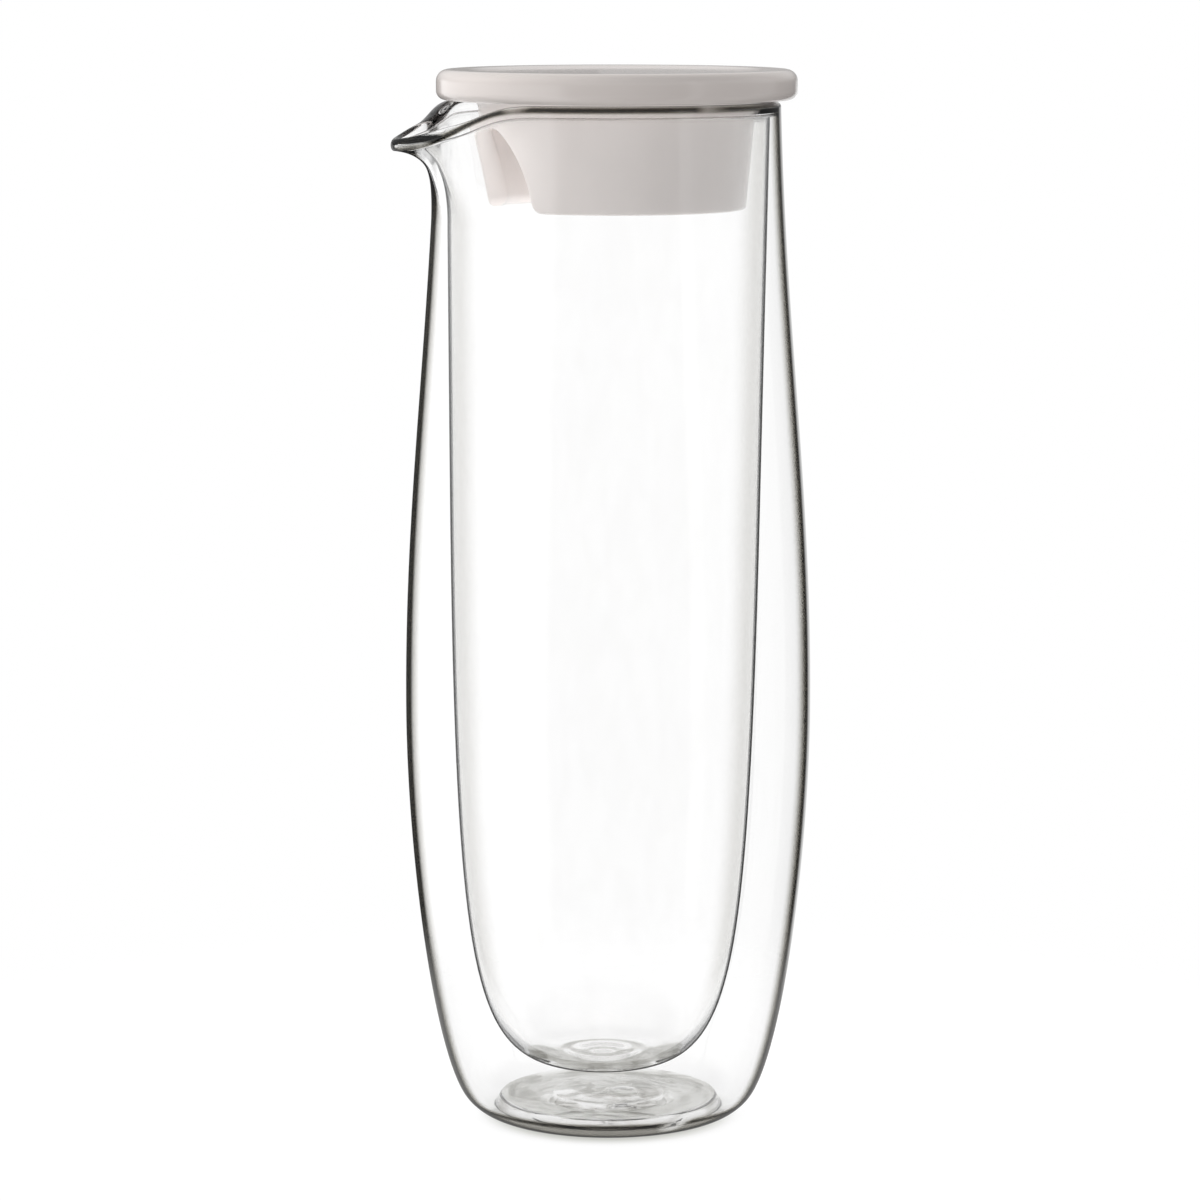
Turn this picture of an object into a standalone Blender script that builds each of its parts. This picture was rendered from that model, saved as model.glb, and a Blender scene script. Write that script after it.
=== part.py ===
"""Double-walled glass carafe with a pulled pouring lip and a loose porcelain lid.

Units are metres and +Z is up. The origin lies on the carafe's axis, on the surface that it
stands on. The pouring lip points along -X.
"""

import math

import bmesh
import bpy
import numpy as np
from mathutils import Matrix

# Jacket, the outer wall
RIM_HEIGHT = 0.2718
NECK_RADIUS = 0.04525
BELLY_RADIUS = 0.0539
BELLY_HEIGHT = 0.1125
HEEL_RADIUS = 0.0383
HEEL_HEIGHT = 0.0054
FOOT_RADIUS = 0.024
JACKET_WALL = 0.0014
NECK_FLARE = 0.027
HEEL_ANGLE = math.radians(39.5)

# Fullness of the jacket's curves, as shares of the height or width that each one spans
NECK_FULLNESS = 0.39
UPPER_BELLY_FULLNESS = 0.36
LOWER_BELLY_FULLNESS = 0.40
HEEL_FULLNESS = 0.12
TURN_FULLNESS = 0.40

# Liner, the inner wall
NECK_SPACE = 0.0014
LINER_WALL = 0.0013
LINER_TAPER = 0.0013
LINER_TAPER_LENGTH = 0.103
LINER_CLEARANCE = 0.0081
LINER_FLOOR = 0.0022
LINER_SIDE_FULLNESS = 0.97
LINER_FLOOR_FULLNESS = 0.81

# Rim bead, where both walls are welded
BEAD_HEIGHT = 0.0030
BEAD_FILLET = 0.0008

# Pouring lip
LIP_REACH = 0.0134
LIP_HALF_WIDTH = 0.0118
LIP_BLUNTNESS = 1.47
LIP_LENGTH = 0.0294
LIP_POWER = 1.76
LIP_DROP = 0.0092
LIP_DROP_HALF_WIDTH = 0.0169
LIP_DROP_BLUNTNESS = 2.41
LIP_DROP_LENGTH = 0.0144
LIP_DROP_POWER = 1.41
LIP_THINNING = 0.36

# Base disc and vent seal
DISC_RADIUS = 0.0310
DISC_THICKNESS = 0.0054
DISC_ROUNDING = 0.0008
PAD_RADIUS = 0.0210
PAD_HEIGHT = 0.0016
PAD_SLOPE = 0.0130
VENT_OFFSET = 0.0038
VENT_BOTTOM_RADIUS = 0.0030
VENT_TOP_RADIUS = 0.0016

# Lid
LID_OVERHANG = 0.00215
LID_THICKNESS = 0.0079
LID_TOP_ROUNDING = 0.0030
LID_EDGE_ROUNDING = 0.0024
LID_SET_BACK = 0.0024
DISH_BORDER = 0.0074
DISH_SLOPE = 0.0045
DISH_DEPTH = 0.0006
PLUG_CLEARANCE = 0.0045
PLUG_TAPER = 0.0026
PLUG_DEPTH = 0.0285
PLUG_WALL = 0.0043
PLUG_FILLET = 0.0016
PLUG_EDGE_ROUNDING = 0.0016
ROOF_THICKNESS = 0.0068
ROOF_FILLET = 0.0030
ARCH_HALF_WIDTH = 0.0160
ARCH_HEIGHT = 0.0226

# Gaps between pieces that touch, and the clearance round a cutter
WELD_GAP = 0.0003
REST_GAP = 0.0003
CUT_MARGIN = 0.004

# Facets: steps round the axis, points along a profile, and the angle of a sharp edge
GLASS_STEPS = 48
DISC_STEPS = 48
LID_STEPS = 48
SEAL_STEPS = 16
ARCH_STEPS = 48
LIP_GATHER = 0.5
LIP_STATIONS = 10
NECK_STATIONS = 7
BELLY_STATIONS = 10
TURN_STATIONS = 7
TAPER_STATIONS = 4
BOWL_STATIONS = 14
CROWN_STATIONS = 9
ROUNDING_STATIONS = 4
PAD_STATIONS = 6
SHARP_ANGLE = math.radians(35)
MERGE_DISTANCE = 0.00001

GLASS_COLOUR = (0.93, 0.95, 0.94, 1.0)
SEAL_COLOUR = (0.90, 0.93, 0.92, 1.0)
PORCELAIN_COLOUR = (0.80, 0.77, 0.75, 1.0)

LID_REST_HEIGHT = RIM_HEIGHT + REST_GAP
LINER_NECK_RADIUS = NECK_RADIUS - JACKET_WALL - NECK_SPACE
MOUTH_RADIUS = LINER_NECK_RADIUS - LINER_WALL
PLUG_RADIUS = MOUTH_RADIUS - PLUG_CLEARANCE
BEAD_BOTTOM = RIM_HEIGHT - BEAD_HEIGHT
JACKET_TOP = BEAD_BOTTOM - WELD_GAP
PAD_TOP = DISC_THICKNESS + PAD_HEIGHT
LIP_END = RIM_HEIGHT - JACKET_TOP + LIP_LENGTH


def clear_scene():
    for old in list(bpy.data.objects):
        bpy.data.objects.remove(old)


def new_collection(name):
    collection = bpy.data.collections.new(name)
    bpy.context.scene.collection.children.link(collection)
    return collection


def material(name, colour, roughness, transmission, ior):
    made = bpy.data.materials.new(name)
    made.use_nodes = True
    made.diffuse_color = colour
    shader = made.node_tree.nodes["Principled BSDF"]
    shader.inputs["Base Color"].default_value = colour
    shader.inputs["Roughness"].default_value = roughness
    shader.inputs["Metallic"].default_value = 0.0
    shader.inputs["Transmission Weight"].default_value = transmission
    shader.inputs["IOR"].default_value = ior
    return made


def cubic(start, start_handle, end_handle, end, shares):
    """Points of a cubic curve at these shares of its run, as (radius, height)."""
    t = np.asarray(shares)[:, None]
    corners = [np.array(point) for point in (start, start_handle, end_handle, end)]
    weights = ((1 - t) ** 3, 3 * (1 - t) ** 2 * t, 3 * (1 - t) * t**2, t**3)
    return sum(weight * corner for weight, corner in zip(weights, corners))


def arc(centre, radius, start_degrees, end_degrees):
    angles = np.radians(np.linspace(start_degrees, end_degrees, ROUNDING_STATIONS))
    return np.array(centre) + radius * np.column_stack([np.cos(angles), np.sin(angles)])


def inside_offset(line, distance):
    """A line at this distance on the axis side of a line that runs down an outer face."""
    run = np.gradient(line, axis=0)
    run /= np.linalg.norm(run, axis=1)[:, None]
    towards_axis = np.column_stack([run[:, 1], -run[:, 0]])
    return line + distance * towards_axis


def radius_at(line, height):
    """Radius of a downward line at this height."""
    return float(np.interp(-height, -line[:, 1], line[:, 0]))


def height_at(line, radius):
    """Height at which a downward line, narrowing below the belly, has this radius."""
    lower = line[line[:, 1] < BELLY_HEIGHT][::-1]
    return float(np.interp(radius, lower[:, 0], lower[:, 1]))


def below(line, height):
    """The part of a downward line below this height, starting at it."""
    start = [[radius_at(line, height), height]]
    return np.vstack([start, line[line[:, 1] < height]])


def above(line, height):
    """The part of a downward line above this height, ending at it."""
    end = [[radius_at(line, height), height]]
    return np.vstack([line[line[:, 1] > height], end])


def close_at_lip(lip_share, count):
    """Shares of a wall's run, close together where the lip bends it and then spread over the rest."""
    return np.append(np.linspace(0, lip_share, LIP_STATIONS), np.linspace(lip_share, 1, count)[1:])


def jacket_outline():
    """Outer face of the glass, from the rim down to the edge of the flat underside."""
    upper = RIM_HEIGHT - BELLY_HEIGHT
    lower = BELLY_HEIGHT - HEEL_HEIGHT
    turn = HEEL_RADIUS - FOOT_RADIUS
    heel_run = np.array([-math.sin(HEEL_ANGLE), -math.cos(HEEL_ANGLE)])
    heel = np.array([HEEL_RADIUS, HEEL_HEIGHT])
    neck_drop = NECK_FULLNESS * upper
    lip_share = LIP_END / (3 * neck_drop)
    to_belly = cubic(
        (NECK_RADIUS, RIM_HEIGHT),
        (NECK_RADIUS + NECK_FLARE * neck_drop, RIM_HEIGHT - neck_drop),
        (BELLY_RADIUS, BELLY_HEIGHT + UPPER_BELLY_FULLNESS * upper),
        (BELLY_RADIUS, BELLY_HEIGHT),
        close_at_lip(lip_share, NECK_STATIONS),
    )
    to_heel = cubic(
        (BELLY_RADIUS, BELLY_HEIGHT),
        (BELLY_RADIUS, BELLY_HEIGHT - LOWER_BELLY_FULLNESS * lower),
        heel - HEEL_FULLNESS * lower * heel_run,
        heel,
        np.linspace(0, 1, BELLY_STATIONS),
    )
    to_foot = cubic(
        heel,
        heel + TURN_FULLNESS * turn * heel_run,
        (FOOT_RADIUS + TURN_FULLNESS * turn, 0),
        (FOOT_RADIUS, 0),
        np.linspace(0, 1, TURN_STATIONS),
    )
    return np.vstack([to_belly, to_heel[1:], to_foot[1:]])


def liner_line(neck_radius, floor_height):
    """One face of the liner, from the rim down to the middle of its floor."""
    taper_end = (neck_radius - LINER_TAPER, RIM_HEIGHT - LINER_TAPER_LENGTH)
    slope = LINER_TAPER / LINER_TAPER_LENGTH
    depth = taper_end[1] - floor_height
    drop = LINER_SIDE_FULLNESS * depth
    taper_shares = close_at_lip(LIP_END / LINER_TAPER_LENGTH, TAPER_STATIONS)
    taper = np.array([neck_radius, RIM_HEIGHT]) + taper_shares[:, None] * np.array(
        [-LINER_TAPER, -LINER_TAPER_LENGTH]
    )
    bowl = cubic(
        taper_end,
        (taper_end[0] - slope * drop, taper_end[1] - drop),
        (LINER_FLOOR_FULLNESS * taper_end[0], floor_height),
        (0, floor_height),
        np.linspace(0, 1, BOWL_STATIONS),
    )
    return np.vstack([taper, bowl[1:]])


def turned(name, points, closed, steps, collection):
    """An object whose profile is turned round +Z. Points are (radius, height)."""
    mesh = bpy.data.meshes.new(name)
    shape = bmesh.new()
    corners = [shape.verts.new((radius, 0, height)) for radius, height in points]
    for first, second in zip(corners, corners[1:]):
        shape.edges.new((first, second))
    if closed:
        shape.edges.new((corners[-1], corners[0]))
    shape.to_mesh(mesh)
    shape.free()
    made = bpy.data.objects.new(name, mesh)
    collection.objects.link(made)
    screw = made.modifiers.new("Turn", "SCREW")
    screw.axis = "Z"
    screw.angle = math.tau
    screw.steps = steps
    screw.render_steps = steps
    screw.use_merge_vertices = True
    screw.merge_threshold = MERGE_DISTANCE
    screw.use_smooth_shade = True
    return made


def make_mesh_final(made):
    """Replace the object's profile and modifiers by the mesh that they make."""
    bpy.context.view_layer.update()
    graph = bpy.context.evaluated_depsgraph_get()
    mesh = bpy.data.meshes.new_from_object(made.evaluated_get(graph))
    mesh.name = made.name
    made.modifiers.clear()
    made.data = mesh


def pull_lip(made):
    """Gather the facets near the lip, then draw the neck out and down along -X.

    The walls and the bead grow thinner towards the lip's tip, and the gap at the weld stays the same.
    """
    half_angle = LIP_HALF_WIDTH / NECK_RADIUS
    drop_half_angle = LIP_DROP_HALF_WIDTH / NECK_RADIUS
    for vertex in made.data.vertices:
        x, y, z = vertex.co
        radius = math.hypot(x, y)
        if radius < WELD_GAP:
            continue
        turn = math.atan2(y, -x)
        turn -= LIP_GATHER * math.sin(turn)
        reach = LIP_REACH * math.exp(-(abs(turn / half_angle) ** LIP_BLUNTNESS))
        fall = LIP_DROP * math.exp(-(abs(turn / drop_half_angle) ** LIP_DROP_BLUNTNESS))
        depth = max(0.0, JACKET_TOP - z)
        out_share = max(0.0, 1 - depth / LIP_LENGTH)
        drop_share = max(0.0, 1 - depth / LIP_DROP_LENGTH)
        thinned = LIP_THINNING * reach / LIP_REACH * out_share**2
        inset = (NECK_RADIUS - radius) * (1 - thinned)
        above_weld = max(0.0, z - JACKET_TOP) - max(0.0, z - BEAD_BOTTOM) * thinned
        out = reach * out_share**LIP_POWER
        drop = fall * drop_share**LIP_DROP_POWER
        out_rate = reach * LIP_POWER / LIP_LENGTH * out_share ** (LIP_POWER - 1)
        drop_rate = fall * LIP_DROP_POWER / LIP_DROP_LENGTH * drop_share ** (LIP_DROP_POWER - 1)
        tilt = math.atan2(out_rate, 1 - drop_rate)
        radius = NECK_RADIUS + out + above_weld * math.sin(tilt) - inset * math.cos(tilt)
        vertex.co = (
            -radius * math.cos(turn),
            radius * math.sin(turn),
            JACKET_TOP - depth - drop + above_weld * math.cos(tilt) + inset * math.sin(tilt),
        )


def cut_with(made, cutter, name):
    cut = made.modifiers.new(name, "BOOLEAN")
    cut.operation = "DIFFERENCE"
    cut.solver = "EXACT"
    cut.object = cutter


def as_cutter(made):
    made.hide_render = True
    made.display_type = "WIRE"


def make_outer_shell(outline, parts):
    """The jacket, with its upper edge under the rim bead and its lower edge round the base disc."""
    inner = inside_offset(outline, JACKET_WALL)
    foot_opening = DISC_RADIUS + WELD_GAP
    outer_face = above(below(outline, JACKET_TOP), height_at(outline, foot_opening))
    inner_face = above(below(inner, JACKET_TOP), height_at(inner, foot_opening))
    profile = np.vstack([outer_face, inner_face[::-1]])
    shell = turned("outer_shell", profile, True, GLASS_STEPS, parts)
    make_mesh_final(shell)
    pull_lip(shell)
    return shell


def make_inner_vessel(outline, parts):
    """The liner with its rim bead."""
    half_bead = BEAD_HEIGHT / 2
    bead_middle = RIM_HEIGHT - half_bead
    bead_outer = radius_at(outline, bead_middle)
    floor_outside = DISC_THICKNESS + LINER_CLEARANCE
    outer_line = liner_line(LINER_NECK_RADIUS, floor_outside)
    inner_line = liner_line(MOUTH_RADIUS, floor_outside + LINER_FLOOR)
    inner_face = below(inner_line, bead_middle)[::-1]
    outer_face = below(outer_line, BEAD_BOTTOM - BEAD_FILLET)
    crown_angles = np.linspace(math.pi, 0, CROWN_STATIONS)[1:]
    crown_centre = (bead_outer + inner_face[-1][0]) / 2
    crown_half = (bead_outer - inner_face[-1][0]) / 2
    crown = np.column_stack(
        [
            crown_centre + crown_half * np.cos(crown_angles),
            bead_middle + half_bead * np.sin(crown_angles),
        ]
    )
    underside = [
        (radius_at(outline, BEAD_BOTTOM), BEAD_BOTTOM),
        (radius_at(outline, BEAD_BOTTOM) - JACKET_WALL, BEAD_BOTTOM),
        (LINER_NECK_RADIUS + BEAD_FILLET, BEAD_BOTTOM),
    ]
    profile = np.vstack([inner_face, crown, underside, outer_face])
    liner = turned("inner_vessel", profile, False, GLASS_STEPS, parts)
    make_mesh_final(liner)
    pull_lip(liner)
    return liner


def make_base_disc(outline, parts, cutters):
    """The floor in the jacket's foot, with a soft raised pad. The carafe stands on its flat underside."""
    run = np.linspace(0, 1, PAD_STATIONS)
    pad_rise = PAD_HEIGHT * (1 + np.cos(math.pi * run)) / 2
    pad_slope = np.column_stack(
        [PAD_RADIUS - PAD_SLOPE * (1 - run), DISC_THICKNESS + pad_rise]
    )
    pad = np.vstack([[(0, PAD_TOP)], pad_slope])
    rounding = arc(
        (DISC_RADIUS - DISC_ROUNDING, DISC_THICKNESS - DISC_ROUNDING), DISC_ROUNDING, 90, 0
    )
    underside = below(outline, height_at(outline, DISC_RADIUS))
    profile = np.vstack([pad, rounding, underside, [(0, 0)]])
    disc = turned("base_disc", profile, False, DISC_STEPS, parts)
    vent = turned("vent_cutter", vent_cone(0, CUT_MARGIN), False, SEAL_STEPS, cutters)
    vent.location.x = VENT_OFFSET
    as_cutter(vent)
    cut_with(disc, vent, "Vent")
    return disc


def vent_cone(gap, overrun):
    """Profile of the tapered vent, made smaller by a gap and longer by an overrun."""
    slope = (VENT_TOP_RADIUS - VENT_BOTTOM_RADIUS) / PAD_TOP
    top = PAD_TOP + overrun - gap
    bottom = gap - overrun
    top_radius = VENT_BOTTOM_RADIUS + slope * top - gap
    bottom_radius = VENT_BOTTOM_RADIUS + slope * bottom - gap
    return [(0, top), (top_radius, top), (bottom_radius, bottom), (0, bottom)]


def make_vent_seal(parts):
    """The glass drop in the vent, with its wide end down."""
    seal = turned("vent_seal", vent_cone(WELD_GAP, 0), False, SEAL_STEPS, parts)
    seal.location.x = VENT_OFFSET
    return seal


def lid_profile():
    """Plate and hollow skirt, with height 0 at the underside that rests on the rim."""
    edge = NECK_RADIUS + LID_OVERHANG
    dish = edge - DISH_BORDER
    floor = LID_THICKNESS - DISH_DEPTH
    end_radius = PLUG_RADIUS - PLUG_TAPER
    end_rounding = min(PLUG_EDGE_ROUNDING, PLUG_WALL / 2.5)
    hollow_end = end_radius - PLUG_WALL
    roof = floor - ROOF_THICKNESS
    slope = PLUG_TAPER / PLUG_DEPTH
    hollow_top = PLUG_RADIUS - PLUG_WALL - slope * (ROOF_FILLET - roof)
    return np.vstack(
        [
            [(0, floor), (dish - DISH_SLOPE, floor), (dish, LID_THICKNESS)],
            arc((edge - LID_TOP_ROUNDING, LID_THICKNESS - LID_TOP_ROUNDING), LID_TOP_ROUNDING, 90, 0),
            arc((edge - LID_EDGE_ROUNDING, LID_EDGE_ROUNDING), LID_EDGE_ROUNDING, 0, -90),
            arc((PLUG_RADIUS + PLUG_FILLET, -PLUG_FILLET), PLUG_FILLET, 90, 180),
            arc((end_radius - end_rounding, end_rounding - PLUG_DEPTH), end_rounding, 0, -90),
            arc((hollow_end + end_rounding, end_rounding - PLUG_DEPTH), end_rounding, -90, -180),
            arc((hollow_top - ROOF_FILLET, roof - ROOF_FILLET), ROOF_FILLET, 0, 90),
            [(0, roof)],
        ]
    )


def make_lid(parts, cutters):
    """The porcelain lid. Its arch faces the lip."""
    lid = turned("lid", lid_profile(), False, LID_STEPS, parts)
    arch_length = PLUG_RADIUS + CUT_MARGIN
    shape = bmesh.new()
    bmesh.ops.create_cone(
        shape,
        cap_ends=True,
        segments=ARCH_STEPS,
        radius1=1,
        radius2=1,
        depth=arch_length,
    )
    lay_along_x = Matrix.Rotation(math.pi / 2, 4, "Y")
    stretch = Matrix.Diagonal((1, ARCH_HALF_WIDTH, ARCH_HEIGHT, 1))
    bmesh.ops.transform(shape, matrix=stretch @ lay_along_x, verts=shape.verts)
    mesh = bpy.data.meshes.new("arch_cutter")
    shape.to_mesh(mesh)
    shape.free()
    arch = bpy.data.objects.new("arch_cutter", mesh)
    cutters.objects.link(arch)
    arch.location = (
        LID_SET_BACK - arch_length / 2,
        0,
        LID_REST_HEIGHT - PLUG_DEPTH,
    )
    as_cutter(arch)
    cut_with(lid, arch, "Arch")
    return lid


def finish(made, look, parent):
    made.data.materials.clear()
    made.data.materials.append(look)
    made.data.shade_smooth()
    made.data.set_sharp_from_angle(angle=SHARP_ANGLE)
    made.parent = parent


def new_empty(name, collection):
    made = bpy.data.objects.new(name, None)
    made.empty_display_size = NECK_RADIUS
    collection.objects.link(made)
    return made


def main():
    clear_scene()
    parts = new_collection("double_wall_carafe")
    cutters = new_collection("cutters")
    glass = material("clear_glass", GLASS_COLOUR, 0.02, 1.0, 1.47)
    seal_glass = material("seal_glass", SEAL_COLOUR, 0.10, 1.0, 1.47)
    porcelain = material("white_porcelain", PORCELAIN_COLOUR, 0.18, 0.0, 1.5)

    carafe = new_empty("carafe_axis", parts)
    lid_slide = new_empty("lid_slide", parts)
    lid_slide.location = (LID_SET_BACK, 0, LID_REST_HEIGHT)
    lid_slide.parent = carafe

    outline = jacket_outline()
    finish(make_outer_shell(outline, parts), glass, carafe)
    finish(make_inner_vessel(outline, parts), glass, carafe)
    finish(make_base_disc(outline, parts, cutters), glass, carafe)
    finish(make_vent_seal(parts), seal_glass, carafe)
    finish(make_lid(parts, cutters), porcelain, lid_slide)


main()
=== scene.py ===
"""Looks of a double-walled glass carafe with a pulled pouring lip and a loose porcelain lid.

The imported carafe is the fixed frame. Each operator makes one piece around it, in metres, with +Z up
and the pouring lip along -X.
"""

import math

import bpy
import numpy as np
from bpy.props import FloatProperty, FloatVectorProperty, IntProperty, PointerProperty
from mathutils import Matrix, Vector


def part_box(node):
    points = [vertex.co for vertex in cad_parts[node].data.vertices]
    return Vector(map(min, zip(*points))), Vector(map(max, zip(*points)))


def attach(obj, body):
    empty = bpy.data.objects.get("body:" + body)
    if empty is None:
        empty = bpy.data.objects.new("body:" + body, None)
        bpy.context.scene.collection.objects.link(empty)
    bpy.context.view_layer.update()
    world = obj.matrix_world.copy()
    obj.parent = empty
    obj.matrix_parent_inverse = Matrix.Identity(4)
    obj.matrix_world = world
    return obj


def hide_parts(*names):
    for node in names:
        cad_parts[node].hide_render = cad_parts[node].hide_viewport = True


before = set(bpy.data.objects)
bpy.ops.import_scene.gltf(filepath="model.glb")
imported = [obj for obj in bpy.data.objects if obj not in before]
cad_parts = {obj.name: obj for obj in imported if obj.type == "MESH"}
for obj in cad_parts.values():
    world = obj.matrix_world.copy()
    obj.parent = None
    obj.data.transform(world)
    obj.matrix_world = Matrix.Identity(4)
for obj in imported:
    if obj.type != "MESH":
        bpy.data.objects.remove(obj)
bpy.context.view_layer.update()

bl_info = {
    "name": "Double-walled carafe",
    "version": (1, 0, 0),
    "blender": (4, 5, 0),
    "location": "View3D > Sidebar > Carafe",
    "description": "Makes the glass walls, the glass base, the porcelain lid and the stage of a carafe",
    "category": "Add Mesh",
}

WHITE = (1.0, 1.0, 1.0, 1.0)
UP = (0.0, 0.0, 1.0)
# Factors that leave the level part of a place
LEVEL = (1.0, 1.0, 0.0)

# Faces of the walls' section. The glass reads the first two as attributes of its points, to place its
# painted edge shade
JACKET_FACE = "jacket_face"
LINER_FACE = "liner_face"
DRINK_FACE = "drink_face"
SPACE_FACE = "space_face"
# Attributes that place the painted grey on the liner's upright side, and the painted dark bands in the rim
# and the heel
LINER_SIDE = "liner_side"
SHADE_BAND_FACE = "shade_band_face"
# Heights between which the liner's floor turns into its upright side, over which the painted grey fades in
SIDE_HEIGHTS = (0.02, 0.05)

# Stretches of a curve: the share of the run at which each one ends, and its number of points
NECK_STRETCHES = ((0.03, 24), (0.18, 28), (1.0, 24))
HEEL_STRETCHES = ((1.0, 30),)
FOOT_STRETCHES = ((1.0, 24),)
TAPER_STRETCHES = ((0.31, 36), (1.0, 12))
BOWL_STRETCHES = ((0.7, 30), (1.0, 48))
# Numbers of points or rings along the other lines
CROWN_POINTS = 26
DISC_RINGS = 76
ARCH_POINTS = 48
CORNER_POINTS = 10
BACK_POINTS = 56
SKIRT_RINGS = 13
HEM_RINGS = 9
FLOOR_CORNERS = 96
# Points closer together than this are one
SAME_PLACE = 1e-6
# Faces that meet at more than this keep an edge between them
SHARP_ANGLE = math.radians(50)
# Turns from the arch's middle: the cut goes straight through up to the first, and along the radius past
# the second
SQUARE_CUT = (math.radians(30), math.radians(50))

# Blown glass: how fast its waves change across the wall and, slower, down it
DRAWN_DOWN = (1.0, 1.0, 0.35)
# Pressed glass: radius of the circle on which its waves are read, which draws them out into arcs
ARC_RADIUS = 0.009
# Levels of the noise at which a painted glint in a painted dark band starts and is full, and how dark the
# band is in a glint
PAINTED_GLINT_LEVELS = (0.56, 0.68)
PAINTED_GLINT_SHADE = 0.3
# Levels of the noise at which a streak in the glass is darkest and at which the glass is clear
STREAK_LEVELS = (0.36, 0.56)
# Porcelain: half of the height over which the plate's colour turns into the skirt's lighter one, which is
# painted light
PLATE_SKIRT_BLEND = 0.001
# Levels between which most of a noise lies, and the glaze's roughness at these
NOISE_LEVELS = (0.3, 0.7)
GLAZE_ROUGHNESS = (0.10, 0.14)
# Share of the pores in the glaze's relief, and the depth of that relief
PORE_SHARE = 0.15
GLAZE_RELIEF = 0.0000025

# Floor: shares of its radius between which it fades away
FLOOR_FADE = (0.4, 0.98)
# Radii between which the painted shadow under the foot ends, the floor's glow in that shadow and the share
# of blue in it
PAINTED_SHADOW_RADII = (0.026, 0.036)
PAINTED_SHADOW_GLOW = 0.4
PAINTED_SHADOW_BLUE = 0.93
# Share of the floor's glow that gloss mirrors
MIRRORED_GLOW = 0.15
# Matt greys of the floor: where it is seen, and where light only bounces off it
SEEN_GREY = (0.22, 0.22, 0.22, 1.0)
BOUNCE_GREY = (0.8, 0.8, 0.8, 1.0)

# Heights of the surround, as shares of the way up to the zenith, between which each of its levels changes
FILL_RISE = (0.2, 0.6)
THROUGH_FALL = (0.35, 0.65)
MIRROR_RISE = (-0.1, 0.3)
# Levels that are seen through glass, low and high in the surround
THROUGH_LEVELS = (1.02, 0.25)
# Panels that gloss mirrors: start and end bearing right of the camera and softness in degrees, strength,
# and the height at which the panel ends, as a share of the way up to the zenith
MIRRORED_PANELS = (
    (-150.0, -35.0, 4.0, 1.3, 0.08),
    (47.0, 56.0, 2.0, 0.9, 0.6),
    (56.0, 120.0, 2.0, 0.35, 0.6),
    (160.0, 190.0, 4.0, 0.9, -0.003),
)
# Soft lights: bearing right of the camera and rise in degrees, both seen from the axis at the lid's lower
# edge, distance, width, height, power
SOFT_LIGHTS = {
    "key": (-110.0, 25.0, 1.5, 1.0, 1.0, 19.5),
    "front": (-25.0, -28.0, 1.6, 1.0, 0.8, 15.5),
    "side": (110.0, 0.0, 1.5, 0.8, 0.8, 10.0),
    "hollow": (0.0, -90.0, 0.045, 0.03, 0.03, 0.019),
}
VESSEL_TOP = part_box("inner_vessel")[1].z
DISC_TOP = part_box("base_disc")[1]
LID_LOW, LID_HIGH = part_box("lid")
LID_RADIUS = (LID_HIGH.y - LID_LOW.y) / 2
LID_AXIS = (LID_HIGH.x + LID_LOW.x) / 2


def length(name, description, default):
    """A size in metres that a user can change."""
    return FloatProperty(name=name, description=description, default=default, unit="LENGTH", precision=5)


def share(name, description, default):
    """A plain number that a user can change."""
    return FloatProperty(name=name, description=description, default=default, precision=3)


def angle(name, description, degrees):
    """An angle that a user can change."""
    return FloatProperty(name=name, description=description, default=math.radians(degrees), subtype="ANGLE")


def colour(name, description, default):
    """A linear colour that a user can change."""
    return FloatVectorProperty(
        name=name, description=description, default=default, subtype="COLOR", size=3, min=0.0, max=1.0
    )


def triple(name, description, default):
    """Three plain numbers that a user can change."""
    return FloatVectorProperty(name=name, description=description, default=default)


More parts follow.
